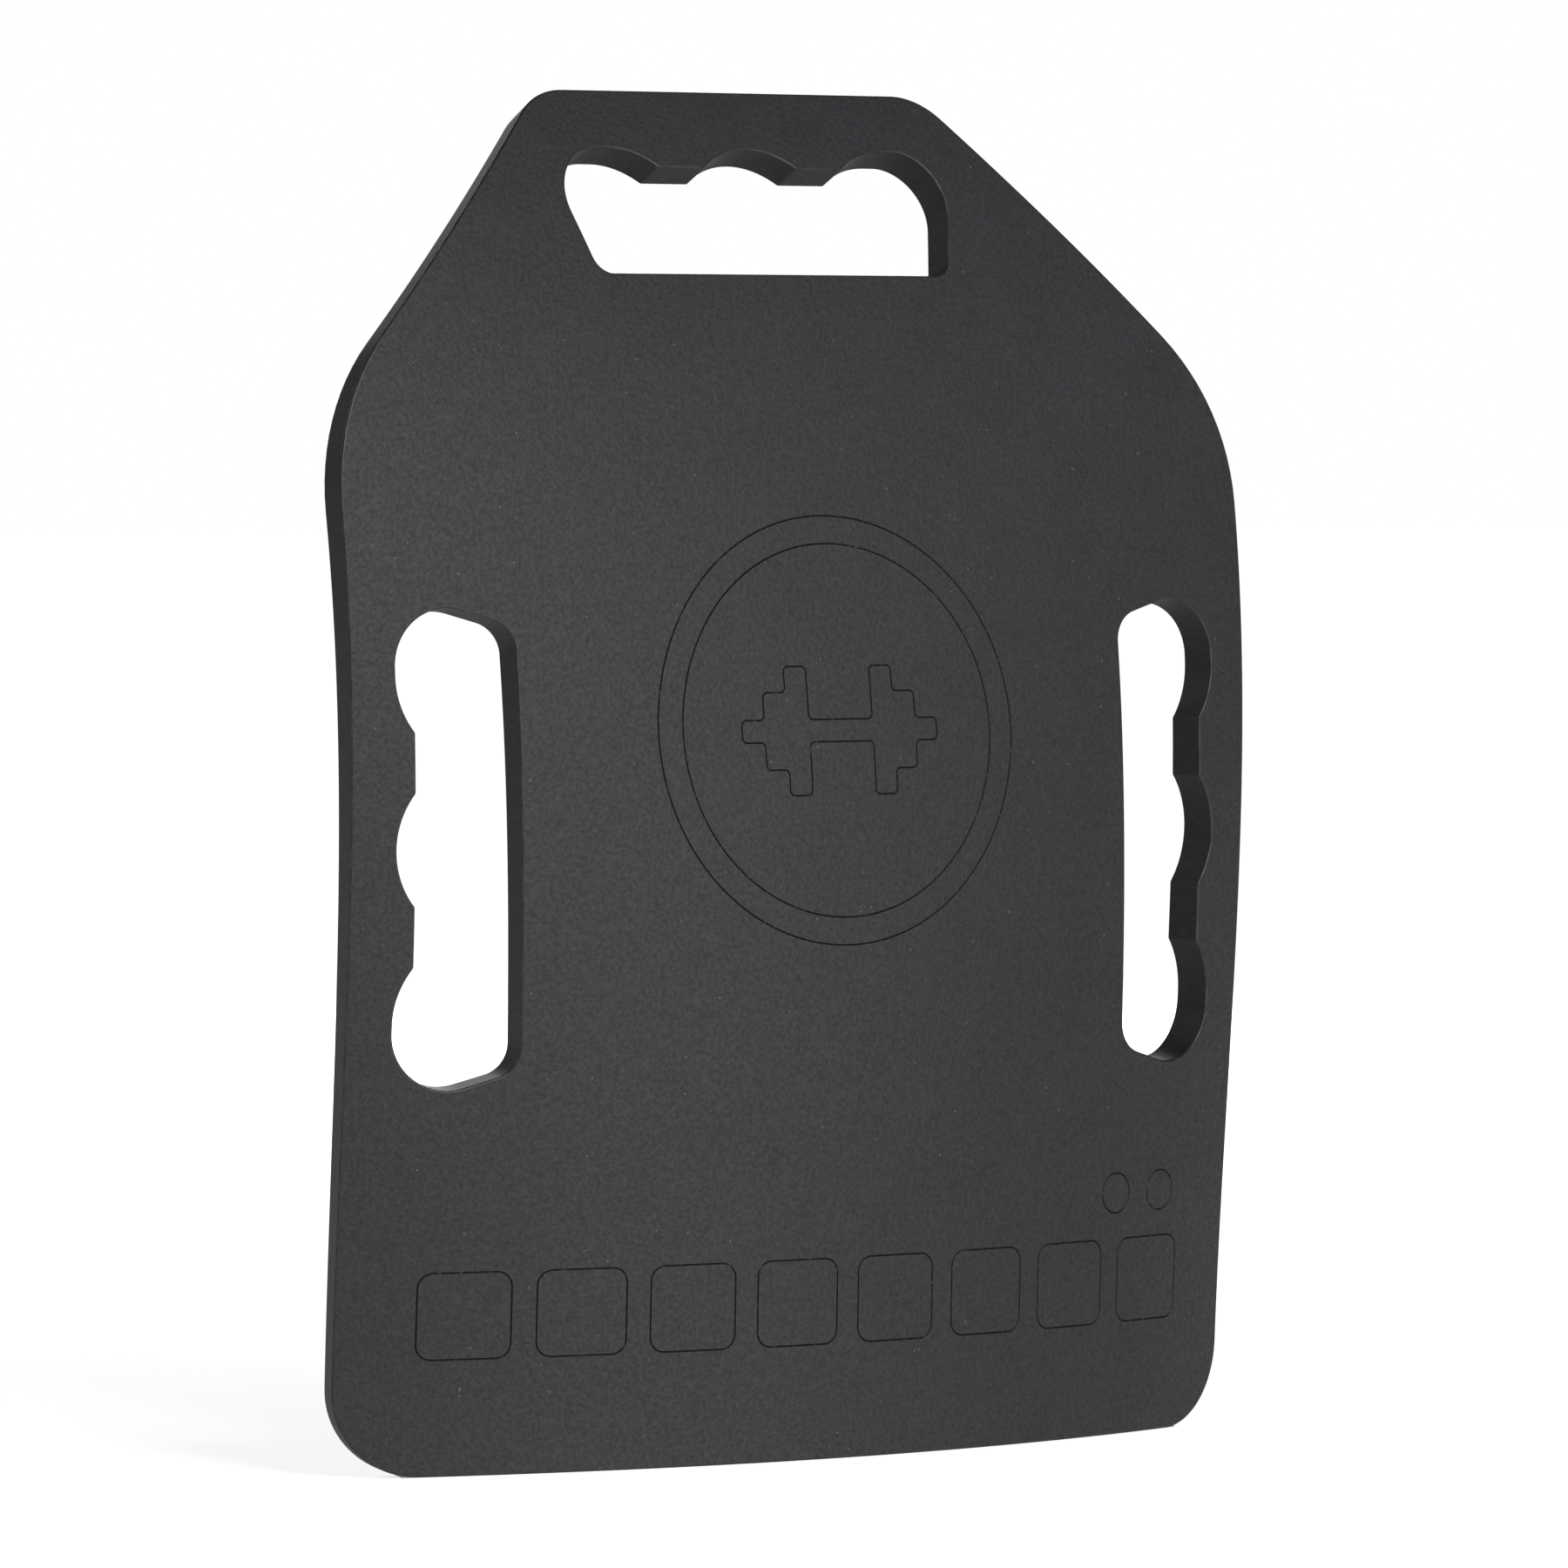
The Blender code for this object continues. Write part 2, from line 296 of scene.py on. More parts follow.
def divided(path, run):
    """Return a closed path with its long runs divided into steps no longer than run."""
    points = []
    for start, end in zip(path, np.roll(path, -1, axis=0)):
        steps = max(1, math.ceil(np.linalg.norm(end - start) / run - STEP_SLACK))
        points.extend(start + (end - start) * step / steps for step in range(steps))
    points = np.array(points)
    gaps = np.linalg.norm(points - np.roll(points, 1, axis=0), axis=1)
    points = points[gaps > SAME_POINT]
    return anticlockwise(points)


def anticlockwise(path):
    """Return a closed path in anticlockwise order."""
    following = np.roll(path, -1, axis=0)
    area = (path[:, 0] * following[:, 1] - path[:, 1] * following[:, 0]).sum()
    return path if area > 0 else path[::-1]


def moved_in(path, distance):
    """Return an anticlockwise path moved towards its inside, corners mitred."""
    before = path - np.roll(path, 1, axis=0)
    after = np.roll(path, -1, axis=0) - path
    before /= np.linalg.norm(before, axis=1, keepdims=True)
    after /= np.linalg.norm(after, axis=1, keepdims=True)
    normal = np.stack((-before[:, 1] - after[:, 1], before[:, 0] + after[:, 0]), axis=1)
    normal /= np.linalg.norm(normal, axis=1, keepdims=True)
    mitre = -after[:, 1] * normal[:, 0] + after[:, 0] * normal[:, 1]
    mitre = np.maximum(mitre, 1 / LONGEST_MITRE)
    return path + normal * (distance / mitre)[:, None]


def plate_path(sizes, fine):
    """Return the plate's outline."""
    half = [(sizes.bottom_half_width, 0.0, sizes.bottom_radius),
            (sizes.half_width, sizes.shoulder_height, sizes.shoulder_radius),
            (sizes.top_half_width, HEIGHT, sizes.top_radius)]
    mirrored = [(-x, z, radius) for x, z, radius in reversed(half)]
    return divided(rounded_path(half + mirrored, fine.turn), fine.run)


def window_path(window, fine):
    """Return a window's outline as (along, deep) points, deep counted from its scallops' bottom."""
    radius = (window.chord ** 2 / 4 + window.scoop ** 2) / (2 * window.scoop)
    spread = math.acos((radius - window.scoop) / radius)
    steps = math.ceil(spread / fine.turn)
    angles = [spread * step / steps for step in range(steps + 1)]
    scoop = [(radius * math.sin(angle), radius * (1 - math.cos(angle))) for angle in angles]
    crest = [0.0] * steps + [window.crest_radius]
    outer = [(window.pitch - along, deep, size) for (along, deep), size in zip(scoop, crest)]
    middle = [(along, deep, size) for (along, deep), size in reversed(list(zip(scoop, crest)))]
    right = [(window.inner_half, window.depth, window.inner_radius),
             (window.outer_half, 0.0, window.outer_radius)] + outer + middle
    left = [(-along, deep, size) for along, deep, size in reversed(right[:-1])]
    return divided(rounded_path(right + left, fine.turn), fine.run)


def window_paths(side, top, fine):
    """Return the outlines of the right, left and top windows."""
    along, deep = window_path(side, fine).T
    right = np.stack((side.across - deep, side.up + along), axis=1)
    left = right * (-1, 1)
    along, deep = window_path(top, fine).T
    upper = np.stack((along, top.up - deep), axis=1)
    return [anticlockwise(path) for path in (right, left, upper)]


def circle_path(x, z, radius, run):
    """Return a circle."""
    steps = max(CIRCLE_STEPS, math.ceil(2 * math.pi * radius / run))
    angles = np.arange(steps) * 2 * math.pi / steps
    return np.stack((x + radius * np.cos(angles), z + radius * np.sin(angles)), axis=1)


def box_path(left, bottom, right, top, radius, fine):
    """Return a box with rounded corners."""
    corners = [(left, bottom, radius), (right, bottom, radius), (right, top, radius),
               (left, top, radius)]
    return divided(rounded_path(corners, fine.turn * MARK_COARSENESS), fine.line_run)


def bell_path(mark, fine):
    """Return the outline of a short bar with a large and a small weight on each end."""
    inner = mark.bell_grip / 2
    middle = inner + mark.bell_weight
    outer = middle + mark.bell_weight
    end = outer + mark.bell_weight
    bar = mark.bell_bar / 2
    tall = mark.bell_height / 2
    short = tall * SMALL_WEIGHT
    radius = mark.bell_weight * WEIGHT_ROUNDNESS
    quarter = [(inner, bar, radius), (inner, tall, radius), (middle, tall, radius),
               (middle, short, radius), (outer, short, radius), (outer, bar, radius),
               (end, bar, radius)]
    right = quarter + [(x, -z, size) for x, z, size in reversed(quarter)]
    left = [(-x, -z, size) for x, z, size in right]
    path = rounded_path(right + left, fine.turn * MARK_COARSENESS) + (0.0, mark.ring_height)
    return divided(path, fine.line_run)


def mark_paths(mark, fine):
    """Return the engraved lines: two rings round a plain weight, a row of boxes, two small rings."""
    paths = [circle_path(0.0, mark.ring_height, mark.ring_radius, fine.line_run),
             circle_path(0.0, mark.ring_height, mark.ring_radius - mark.ring_gap, fine.line_run),
             bell_path(mark, fine)]
    pitch = (2 * mark.row_half + mark.box_gap) / mark.boxes
    for number in range(mark.boxes):
        left = -mark.row_half + number * pitch
        paths.append(box_path(left, mark.row_height, left + pitch - mark.box_gap,
                              mark.row_height + mark.box_tall, mark.box_radius, fine))
    for number in range(2):
        paths.append(circle_path(mark.stud_across - number * mark.stud_pitch, mark.stud_height,
                                 mark.stud_radius, fine.line_run))
    return paths


# The skin, built in the flat as (x, depth, z) and then pressed


def inside(points, loops):
    """Return which points lie inside an odd number of the loops."""
    odd = np.zeros(len(points), bool)
    x, z = points.T
    for loop in loops:
        for (x0, z0), (x1, z1) in zip(loop, np.roll(loop, -1, axis=0)):
            if z0 != z1:
                spans = (z0 > z) != (z1 > z)
                odd ^= spans & (x < x0 + (z - z0) * (x1 - x0) / (z1 - z0))
    return odd


def face_points(loops, cell):
    """Return an even grid of points inside the loops, clear of the loops themselves."""
    low = loops[0].min(axis=0)
    high = loops[0].max(axis=0)
    rise = cell * math.sqrt(3) / 2
    rows = []
    for number, z in enumerate(np.arange(low[1] + rise / 2, high[1], rise)):
        x = np.arange(cell / 4 + cell / 2 * (number % 2), high[0], cell)
        x = np.concatenate((-x[::-1], x))
        rows.append(np.stack((x, np.full_like(x, z)), axis=1))
    grid = np.concatenate(rows)
    grid = grid[inside(grid, loops)]
    edge = np.concatenate(loops)
    tree = kdtree.KDTree(len(edge))
    for index, point in enumerate(edge):
        tree.insert((*point, 0.0), index)
    tree.balance()
    clear = [tree.find((*point, 0.0))[2] > cell * CLEAR_SHARE for point in grid]
    return grid[clear]


def filled(loops, cell):
    """Return points and triangles that fill the region inside an odd number of the loops."""
    grid = face_points(loops, cell)
    points = np.concatenate(loops + [grid])
    edges = []
    start = 0
    for loop in loops:
        count = len(loop)
        edges.extend((start + step, start + (step + 1) % count) for step in range(count))
        start += count
    found = geometry.delaunay_2d_cdt([Vector(point) for point in points], edges, [], 0,
                                     FILL_ACCURACY)
    points = np.array([tuple(point) for point in found[0]])
    triangles = np.array([face for face in found[2] if len(face) == 3])
    corners = points[triangles]
    sides = np.roll(corners, -1, axis=1) - corners
    doubled_area = np.abs(sides[:, 0, 0] * sides[:, 1, 1] - sides[:, 0, 1] * sides[:, 1, 0])
    solid = doubled_area > np.linalg.norm(sides, axis=2).max(axis=1) * LINE_HEIGHT
    return points, triangles[inside(corners.mean(axis=1), loops) & solid]


class Skin:
    """A growing mesh in the flat, held as rows of (x, depth, z) points and faces."""

    def __init__(self):
        self.points = []
        self.faces = []
        self.kinds = []
        self.count = 0

    def add_points(self, path, depth):
        """Add a path's points at one depth and return the index of its first point."""
        start = self.count
        self.points.append(np.stack((path[:, 0], np.full(len(path), depth), path[:, 1]), axis=1))
        self.count += len(path)
        return start

    def add_face(self, loops, depth, cell, kind):
        """Fill the region between the loops at one depth."""
        points, triangles = filled(loops, cell)
        start = self.add_points(points, depth)
        self.faces.extend((triangles + start).tolist())
        self.kinds.extend([kind] * len(triangles))

    def add_strip(self, rows, kinds, skip=None):
        """Join closed rows of (path, depth), leaving out what skip says."""
        starts = [self.add_points(path, depth) for path, depth in rows]
        count = len(rows[0][0])
        for row in range(len(rows) - 1):
            for step in range(count):
                after = (step + 1) % count
                if skip and skip(row, rows[row][0][step], rows[row][0][after]):
                    continue
                self.faces.append((starts[row] + step, starts[row] + after,
                                   starts[row + 1] + after, starts[row + 1] + step))
                self.kinds.append(kinds[row])


def edge_profile(plate, fine, slot):
    """Return (inset, depth) rows from the front face round a cut edge to the back face."""
    radius = plate.edge_radius
    steps = fine.round_steps
    angles = [math.pi / 2 * step / steps for step in range(steps + 1)]
    front = [(radius + fine.margin, 0.0)]
    front += [(radius * (1 - math.sin(angle)), radius * (1 - math.cos(angle))) for angle in angles]
    front.append((0.0, slot))
    back = [(inset, plate.thickness - depth) for inset, depth in reversed(front)]
    return front + [(0.0, plate.thickness / 2)] + back


def flat_skin(settings):
    """Return the coat's outer skin in the flat."""
    plate = settings.plate
    fine = settings.mesh
    mark = settings.mark
    slot = STEEL_INSET * RIM_SHARE
    outline = plate_path(plate, fine)
    windows = window_paths(settings.side_window, settings.top_window, fine)
    profile = edge_profile(plate, fine, slot)
    margin = profile[0][0]
    border = [moved_in(outline, margin)] + [moved_in(window, -margin) for window in windows]
    reach = mark.groove_width / 2
    lines = mark_paths(mark, fine)
    skin = Skin()

    line_sides = []
    for line in lines:
        rows = [(moved_in(line, -reach - fine.margin), 0.0), (moved_in(line, -reach), 0.0),
                (line, mark.groove_depth), (moved_in(line, reach), 0.0),
                (moved_in(line, reach + fine.margin), 0.0)]
        skin.add_strip(rows, [OPEN_FACE, ENGRAVED_LINE, ENGRAVED_LINE, OPEN_FACE])
        line_sides += [rows[0][0], rows[-1][0]]
    skin.add_face(border + line_sides, 0.0, fine.cell, OPEN_FACE)
    skin.add_face(border, plate.thickness, fine.cell, OPEN_FACE)

    rounding = [ROUNDED_EDGE] * fine.round_steps
    kinds = [OPEN_FACE] + rounding + [CUT_WALL] * 4 + rounding + [OPEN_FACE]

    def under_steel(row, start, end):
        """Say whether a strip lies along the bottom edge, between the two coated rims."""
        level = start[1] < SAME_POINT and end[1] < SAME_POINT
        return level and slot - SAME_POINT <= profile[row][1] < plate.thickness - slot - SAME_POINT

    skin.add_strip([(moved_in(outline, inset), depth) for inset, depth in profile], kinds, under_steel)
    for window in windows:
        skin.add_strip([(moved_in(window, -inset), depth) for inset, depth in profile], kinds)
    return skin


def pressed(points):
    """Return where flat (x, depth, z) points lie on the pressed plate, its bottom edge level."""
    heights = np.linspace(0.0, HEIGHT, len(BEND_ACROSS))
    across = Polynomial.fit(heights, BEND_ACROSS, len(heights) - 1).convert()
    upright = Polynomial.fit(heights, BEND_UPRIGHT, len(heights) - 1).convert()
    middle = upright.integ(2, lbnd=HEIGHT / 2) + Polynomial((-LEAN * HEIGHT / 2, LEAN))

    def lay(x, depth, z):
        """Press points without the level bottom edge."""
        slope_x = across(z) * x
        slope_z = across.deriv()(z) * x ** 2 / 2 + middle.deriv()(z)
        inward = np.stack((-slope_x, np.ones_like(x), -slope_z), axis=1)
        inward /= np.linalg.norm(inward, axis=1, keepdims=True)
        front = np.stack((x, across(z) * x ** 2 / 2 + middle(z), z), axis=1)
        return front + inward * depth[:, None]

    x, depth, z = points.T
    laid = lay(x, depth, z)
    ground = lay(x, depth, np.zeros_like(z))[:, 2]
    near = np.clip(1 - z / (HEIGHT * LEVELLED_SHARE), 0.0, 1.0)
    laid[:, 2] -= ground * near
    laid[:, 1] -= (laid[:, 1].min() + laid[:, 1].max()) / 2
    return laid


def skin_mesh(name, skin):
    """Return the pressed skin as a mesh, welded and facing out."""
    mesh = bpy.data.meshes.new(name)
    mesh.from_pydata(pressed(np.concatenate(skin.points)).tolist(), [], skin.faces)
    mesh.polygons.foreach_set("material_index", skin.kinds)
    work = bmesh.new()
    work.from_mesh(mesh)
    bmesh.ops.remove_doubles(work, verts=work.verts, dist=SAME_POINT)
    bmesh.ops.recalc_face_normals(work, faces=work.faces)
    work.to_mesh(mesh)
    work.free()
    mesh.shade_smooth()
    mesh.set_sharp_from_angle(angle=SHARP_ANGLE)
    return mesh


# Shaders


class Wire:
    """A node's output that takes part in Python arithmetic, where each step adds a Math node."""

    def __init__(self, graph, socket):
        self.graph = graph
        self.socket = socket

    def joined(self, operation, first, second):
        """Return the result of a Math node."""
        return self.graph.node("ShaderNodeMath", {"operation": operation},
                               {0: first, 1: second})["Value"]

    def __add__(self, other):
        return self.joined("ADD", self, other)

    def __radd__(self, other):
        return self.joined("ADD", other, self)

    def __sub__(self, other):
        return self.joined("SUBTRACT", self, other)

    def __rsub__(self, other):
        return self.joined("SUBTRACT", other, self)

    def __mul__(self, other):
        return self.joined("MULTIPLY", self, other)

    def __rmul__(self, other):
        return self.joined("MULTIPLY", other, self)


class Graph:
    """The nodes of one material or world, each made from its type, settings and sockets."""

    def __init__(self, owner):
        owner.use_nodes = True
        self.owner = owner
        self.tree = owner.node_tree

    def feed(self, socket, value):
        """Link a socket to a wire or give it a value."""
        if isinstance(value, Wire):
            self.tree.links.new(value.socket, socket)
        else:
            socket.default_value = value

    def node(self, kind, settings, sockets):
        """Add a node, its settings first and then its sockets, and return its outputs."""
        made = self.tree.nodes.new(kind)
        for name, value in settings.items():
            if name == "stops":
                made.color_ramp.elements[0].position = value[0]
                made.color_ramp.elements[1].position = value[1]
            else:
                setattr(made, name, value)
        for key, value in sockets.items():
            if isinstance(key, int):
                socket = made.inputs[key]
            else:
                socket = next(item for item in made.inputs if item.enabled and item.name == key)
            self.feed(socket, value)
        return {item.name: Wire(self, item) for item in made.outputs if item.enabled}

    def place(self, stretch):
        """Return the place on the object, stretched along each axis."""
        spot = self.node("ShaderNodeTexCoord", {}, {})["Object"]
        return self.node("ShaderNodeVectorMath", {"operation": "MULTIPLY"},
                         {0: spot, 1: stretch})["Vector"]

    def noise(self, place, scale, detail):
        """Return a noise value."""
        return self.node("ShaderNodeTexNoise", {}, {"Vector": place, "Scale": scale,
                                                    "Detail": detail})["Fac"]

    def step(self, value, low, high):
        """Return 0 below low, 1 above high and a ramp between."""
        return self.node("ShaderNodeValToRGB", {"stops": (low, high)}, {"Fac": value})["Color"]

    def mixed(self, share, first, second):
        """Return a mix of two colours."""
        return self.node("ShaderNodeMix", {"data_type": "RGBA"},
                         {"Factor": share, "A": first, "B": second})["Result"]

    def bump(self, height, distance):
        """Return the normal of a bumpy surface."""
        return self.node("ShaderNodeBump", {}, {"Height": height, "Distance": distance,
                                                "Strength": 1.0})["Normal"]

    def finish(self, **inputs):
        """Feed the Principled shader's sockets and return the material."""
        shader = self.tree.nodes["Principled BSDF"]
        for name, value in inputs.items():
            self.feed(shader.inputs[name.replace("_", " ")], value)
        return self.owner


def material_graph(name):
    """Return the graph of a new material."""
    return Graph(bpy.data.materials.new(name))


def coat_material(finish):
    """Return the textured powder coat on the open faces."""
    graph = material_graph("textured_powder_coat")
    spot = graph.place((1.0, 1.0, 1.0))
    pebble = graph.noise(spot, 1050.0, 2.0)
    grain = graph.noise(spot, 2900.0, 1.0)
    cloud = graph.noise(spot, 60.0, 3.0)
    # Painted glints: sparse pale specks in the colour stand in for the coat's sparkle; the coat is also
    # smoother and raised there.
    cells = graph.node("ShaderNodeTexVoronoi", {}, {"Vector": spot, "Scale": 900.0})
    near = 1.0 - graph.step(cells["Distance"], 0.10, 0.30)
    seldom = graph.step(cells["Color"], 0.90, 0.93)
    painted_glint = near * seldom
    # The colour follows the relief: painted shade in the texture's hollows and painted highlight on its
    # crests, mixed with a random cloudy tone.
    relief = graph.step(pebble, 0.30, 0.70)
    tint = relief * 0.65 + cloud * 0.35
    colour_now = graph.mixed(tint, tuple(finish.coat_dark), tuple(finish.coat_light))
    colour_now = graph.mixed(painted_glint, colour_now, tuple(finish.coat_painted_glint))
    rough = 0.60 - relief * 0.10 + cloud * 0.06 - painted_glint * 0.22
    height = relief * 0.7 + grain * 0.3 + painted_glint * 0.6
    return graph.finish(Base_Color=colour_now, Roughness=rough, Specular_IOR_Level=0.45,
                        Normal=graph.bump(height, 0.000070))


def cut_wall_material(finish):
    """Return the powder coat on the cut walls, where the cutter's marks still show."""
    graph = material_graph("powder_coat_on_cut_walls")
    marks = graph.noise(graph.place((1.0, 0.06, 1.0)), 1500.0, 3.0)
    waves = graph.noise(graph.place((1.0, 0.20, 1.0)), 260.0, 2.0)
    pebble = graph.noise(graph.place((1.0, 1.0, 1.0)), 1500.0, 2.0)
    tint = marks * 0.5 + waves * 0.3 + pebble * 0.2
    colour_now = graph.mixed(graph.step(tint, 0.35, 0.65), tuple(finish.wall_dark),
                             tuple(finish.wall_light))
    rough = 0.56 + pebble * 0.12 - marks * 0.06
    height = marks * 0.6 + waves * 0.5 + pebble * 0.3
    return graph.finish(Base_Color=colour_now, Roughness=rough, Specular_IOR_Level=0.40,
                        Normal=graph.bump(height, 0.00005))


def engraved_material(finish):
    """Return the engraved lines: painted shade inside them, and pale painted glints in spots along
    them.
    """
    graph = material_graph("engraved_lines")
    spot = graph.place((1.0, 1.0, 1.0))
    grain = graph.noise(spot, 1400.0, 2.0)
    # Painted glints: pale spots along the lines where light would catch their rims; the lines are
    # smoother there too.
    painted_rim_glint = graph.step(graph.noise(spot, 650.0, 3.0), 0.60, 0.72)
    colour_now = graph.mixed(painted_rim_glint, tuple(finish.line_painted_shade), tuple(finish.line_painted_glint))
    return graph.finish(Base_Color=colour_now, Roughness=0.62 - painted_rim_glint * 0.15, Specular_IOR_Level=0.30,
                        Normal=graph.bump(grain, 0.00003))


def edge_material(finish):
    """Return the thinner, smoother coat on the rounded edges."""
    graph = material_graph("powder_coat_on_rounded_edges")
    spot = graph.place((1.0, 1.0, 1.0))
    grain = graph.noise(spot, 1200.0, 2.0)
    thin = graph.step(graph.noise(spot, 300.0, 3.0), 0.40, 0.70)
    colour_now = graph.mixed(thin, tuple(finish.coat_dark), tuple(finish.coat_light))
    return graph.finish(Base_Color=colour_now, Roughness=0.36 + grain * 0.10 - thin * 0.06,
                        Specular_IOR_Level=0.55, Normal=graph.bump(grain, 0.00002))


def steel_material(finish):
    """Return bare ground steel, scratched along the edge."""
    graph = material_graph("ground_steel")
    scratch = graph.noise(graph.place((0.04, 1.0, 1.0)), 5200.0, 3.0)
    cloud = graph.noise(graph.place((1.0, 1.0, 1.0)), 90.0, 3.0)
    share = graph.step(scratch * 0.8 + cloud * 0.2, 0.35, 0.65)
    colour_now = graph.mixed(share, tuple(finish.steel_shade), tuple(finish.steel))
    return graph.finish(Base_Color=colour_now, Roughness=0.30 + scratch * 0.25, Metallic=1.0,
                        Normal=graph.bump(scratch, 0.00002))


# Stage


def add_light(name, spot, target, size, power, tint):
    """Add a soft square light at a spot, aimed at a target, that no camera sees."""
    light = bpy.data.lights.new(name, "AREA")
    light.shape = "SQUARE"
    light.size = size
    light.energy = power
    light.color = tint
    item = bpy.data.objects.new(name, light)
    item.visible_camera = False
    item.location = spot
    item.rotation_euler = (target - spot).to_track_quat("-Z", "Y").to_euler()
    bpy.context.scene.collection.objects.link(item)


def add_round_light(name, turn, rise, power):
    """Add a light round the plate: turn 0 is in front of it, and more is to its right."""
    turn = math.radians(turn)
    rise = math.radians(rise)
    target = Vector((0.0, 0.0, HEIGHT / 2))
    away = Vector((math.sin(turn) * math.cos(rise), -math.cos(turn) * math.cos(rise), math.sin(rise)))
    add_light(name, target + away * LIGHT_DISTANCE, target, LIGHT_SIZE, power, LIGHT_TINT)


def add_bounce(stage):
    """Add the light that rises off a bright floor, as a wide light just under it."""
    power = math.pi * BOUNCE_SIZE ** 2 * stage.bounce
    spot = Vector((0.0, 0.0, -BOUNCE_DROP))
    target = Vector((0.0, 0.0, HEIGHT))
    add_light("floor_bounce", spot, target, BOUNCE_SIZE, power, BOUNCE_TINT)


def add_floor(finish, stage):
    """Add a wide plain floor that takes shadows, but neither lights the plate nor hides the bounce."""
    bpy.ops.mesh.primitive_circle_add(vertices=FLOOR_SIDES, radius=FLOOR_RADIUS, fill_type="NGON")
    floor = bpy.context.object
    floor.name = "floor"
    floor.visible_diffuse = False
    floor.visible_glossy = False
    floor.visible_shadow = False
    graph = material_graph("plain_floor")
    away = graph.node("ShaderNodeVectorMath", {"operation": "LENGTH"},
                      {0: graph.place((1.0, 1.0, 1.0))})["Value"]
    far = graph.node("ShaderNodeMapRange", {}, {"Value": away, "From Max": stage.floor_reach})["Result"]
    near = (stage.floor_near, stage.floor_near, stage.floor_near, 1.0)
    floor.data.materials.append(graph.finish(Base_Color=tuple(finish.floor), Roughness=0.9,
                                             Specular_IOR_Level=0.1,
                                             Emission_Color=graph.mixed(far, near, WHITE),
                                             Emission_Strength=1.0))


def add_world(stage):
    """Light the scene evenly from all round, in front of a white background."""
    world = bpy.data.worlds.new("even_light")
    graph = Graph(world)
    graph.tree.nodes.remove(graph.tree.nodes["Background"])
    seen = graph.node("ShaderNodeLightPath", {}, {})["Is Camera Ray"]
    even, white = (graph.node("ShaderNodeBackground", {}, {"Color": WHITE, "Strength": strength})
                   for strength in (stage.world_light, 1.0))
    choice = graph.node("ShaderNodeMixShader", {},
                        {0: seen, 1: even["Background"], 2: white["Background"]})["Shader"]
    graph.feed(graph.tree.nodes["World Output"].inputs["Surface"], choice)
    bpy.context.scene.world = world


def add_camera(stage, depth_shift):
    """Add the camera, to the left of the plate's front and a little above its middle."""
    turn = Matrix.Rotation(stage.turn, 3, "Z")
    rise = Matrix.Rotation(stage.rise, 3, "X")
    roll = Matrix.Rotation(stage.roll, 3, "Y")
    axes = roll @ rise @ turn
    right, forward, up = (Vector(row) for row in axes)
    middle = Vector((0.0, depth_shift, HEIGHT / 2))
    spot = middle - right * stage.slide_across - forward * stage.distance - up * stage.slide_up
    data = bpy.data.cameras.new("camera")
    data.sensor_width = SENSOR_WIDTH
    data.lens = SENSOR_WIDTH * stage.distance / stage.view_width
    data.clip_start = NEAREST_SEEN
    data.clip_end = FURTHEST_SEEN
    camera = bpy.data.objects.new("camera", data)
    bpy.context.scene.collection.objects.link(camera)
    camera.matrix_world = Matrix((right, up, -forward)).transposed().to_4x4()
    camera.location = spot
    bpy.context.scene.camera = camera


def middle_depth():
    """Return where the middle of the plate's front lies along Y."""
    middle = Vector((0.0, COAT_LOW.y, HEIGHT / 2))
    nearest = min(bpy.data.meshes["coat_skin"].vertices, key=lambda point: (point.co - middle).length)
    return nearest.co.y


# Operators


class PLATE_OT_powder_coat(bpy.types.Operator):
    """Make the textured powder coat with its engraved mark"""

    bl_idname = "weight_plate.powder_coat"
    bl_label = "Powder coat"

    def execute(self, context):
        settings = context.scene.weight_plate
        mesh = skin_mesh("coat_skin", flat_skin(settings))
        for make in (coat_material, cut_wall_material, engraved_material, edge_material):
            mesh.materials.append(make(settings.finish))
        coat = bpy.data.objects.new("coat_skin", mesh)
        context.scene.collection.objects.link(coat)
        shell = coat.modifiers.new("coat", "SOLIDIFY")
        shell.thickness = settings.plate.coat
        shell.offset = -1.0
        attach(coat, "root")
        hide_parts("powder_coat")
        return {"FINISHED"}


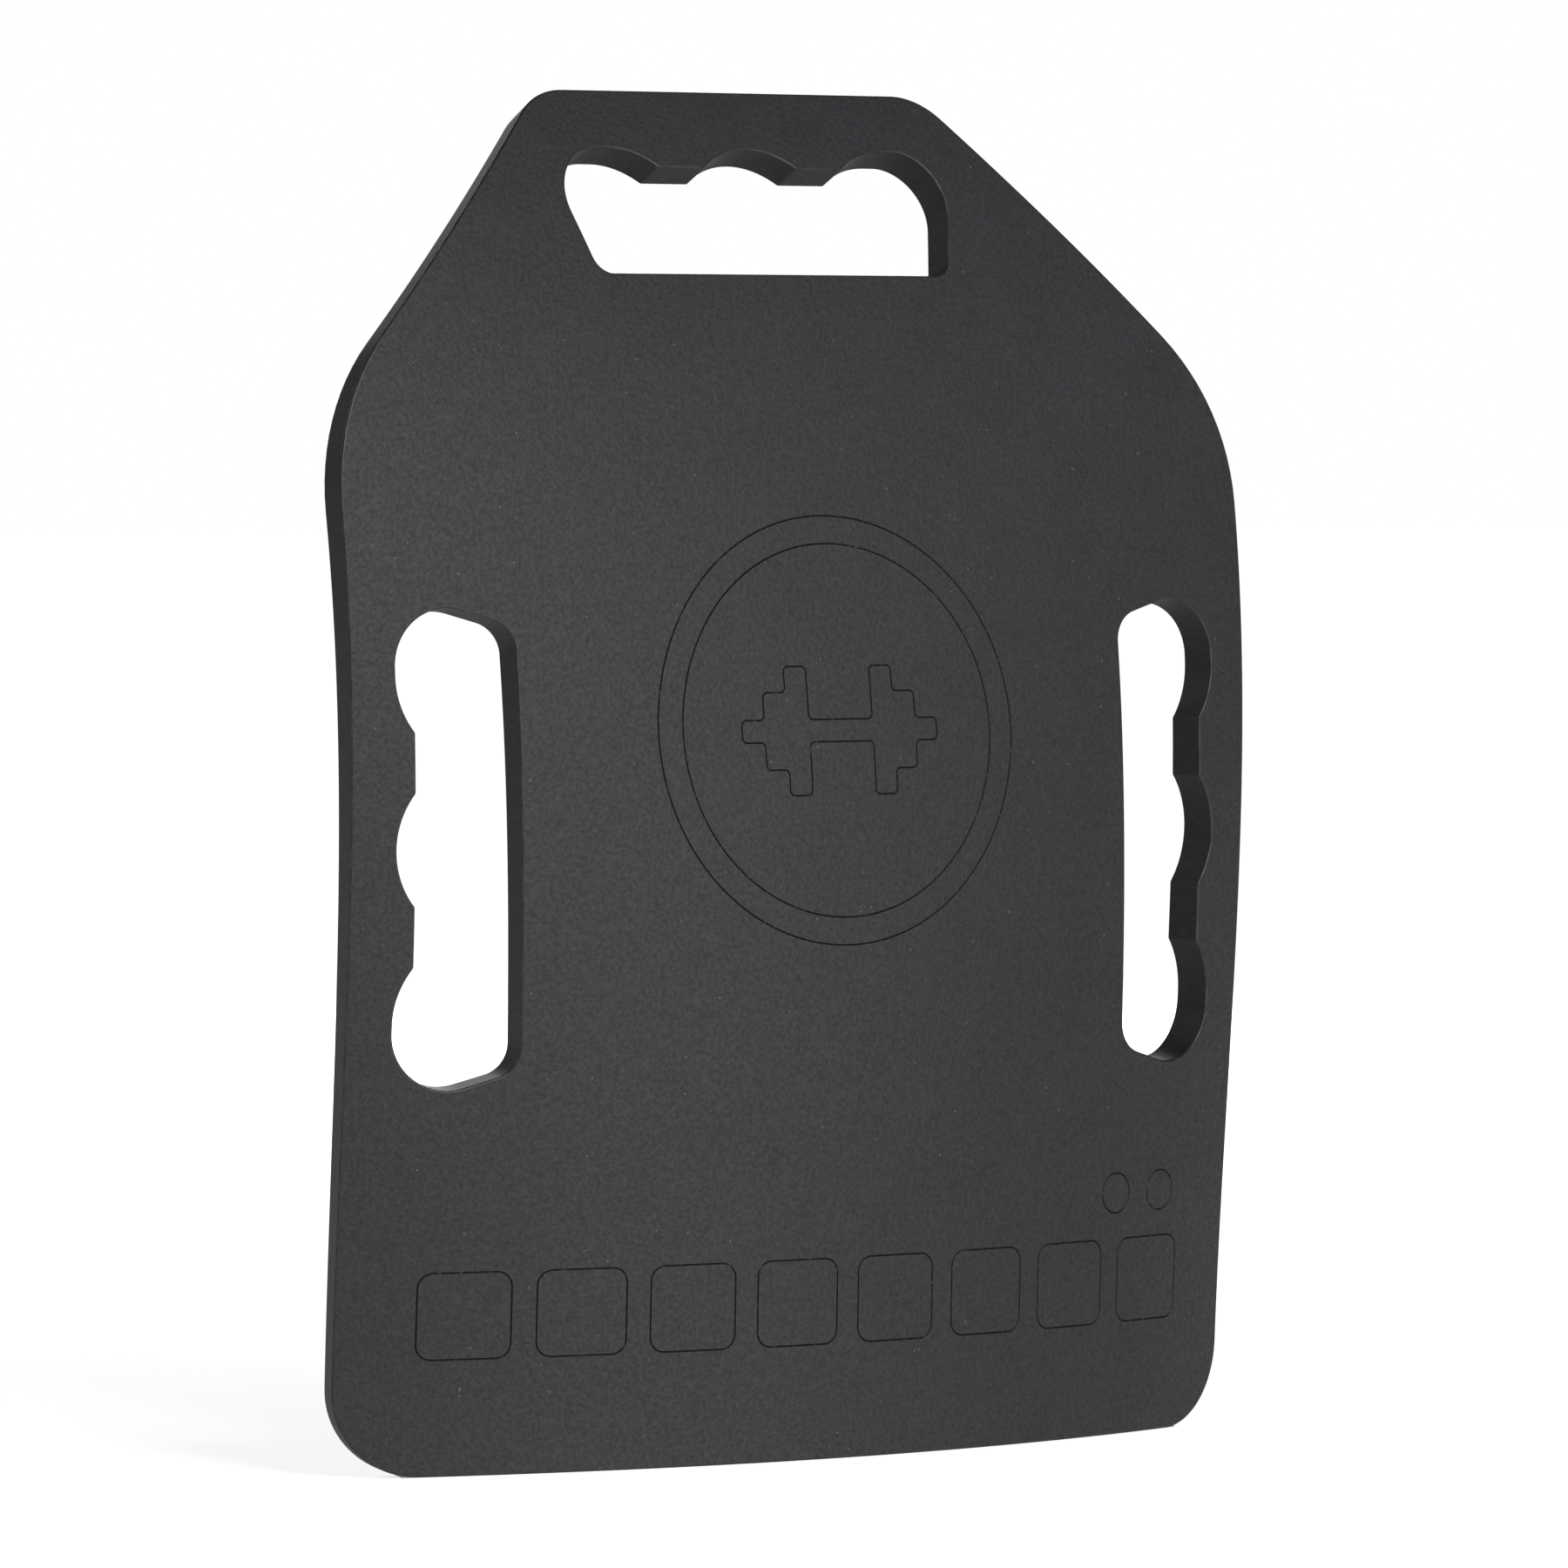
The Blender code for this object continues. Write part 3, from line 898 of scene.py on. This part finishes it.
class PLATE_OT_steel(bpy.types.Operator):
    """Give the steel plate its ground finish"""

    bl_idname = "weight_plate.steel"
    bl_label = "Steel plate"

    def execute(self, context):
        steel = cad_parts["steel_plate"]
        material = steel_material(context.scene.weight_plate.finish)
        steel.data.materials.clear()
        steel.data.materials.append(material)
        return {"FINISHED"}


class PLATE_OT_stage(bpy.types.Operator):
    """Set the floor, the lights and the camera"""

    bl_idname = "weight_plate.stage"
    bl_label = "Stage"

    def execute(self, context):
        settings = context.scene.weight_plate
        context.scene.view_settings.view_transform = "Standard"
        add_floor(settings.finish, settings.stage)
        add_world(settings.stage)
        for light in LIGHTS:
            add_round_light(*light)
        add_bounce(settings.stage)
        add_camera(settings.stage, middle_depth())
        return {"FINISHED"}


class PLATE_PT_panel(bpy.types.Panel):
    """Buttons and sizes of the weight plate"""

    bl_idname = "PLATE_PT_panel"
    bl_label = "Weight plate"
    bl_space_type = "VIEW_3D"
    bl_region_type = "UI"
    bl_category = "Weight plate"

    def draw(self, context):
        settings = context.scene.weight_plate
        for operator in OPERATORS:
            self.layout.operator(operator.bl_idname)
        for name in ("plate", "side_window", "top_window", "mark", "mesh", "finish", "stage"):
            box = self.layout.box()
            group = getattr(settings, name)
            for key in group.__annotations__:
                box.prop(group, key)


OPERATORS = (PLATE_OT_powder_coat, PLATE_OT_steel, PLATE_OT_stage)
CLASSES = (PlateSizes, WindowSizes, MarkSizes, MeshFineness, Finishes, StageSettings, PlateSettings,
           *OPERATORS, PLATE_PT_panel)


def register():
    """Register the classes and put the settings on the scene."""
    for item in CLASSES:
        bpy.utils.register_class(item)
    bpy.types.Scene.weight_plate = PointerProperty(type=PlateSettings)


def unregister():
    """Remove the settings and the classes."""
    del bpy.types.Scene.weight_plate
    for item in reversed(CLASSES):
        bpy.utils.unregister_class(item)


def main():
    """Build the plate and its stage."""
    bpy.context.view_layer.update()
    register()
    for name, value in TOP_WINDOW.items():
        setattr(bpy.context.scene.weight_plate.top_window, name, value)
    bpy.ops.weight_plate.powder_coat()
    bpy.ops.weight_plate.steel()
    bpy.ops.weight_plate.stage()


if __name__ == "__main__":
    main()
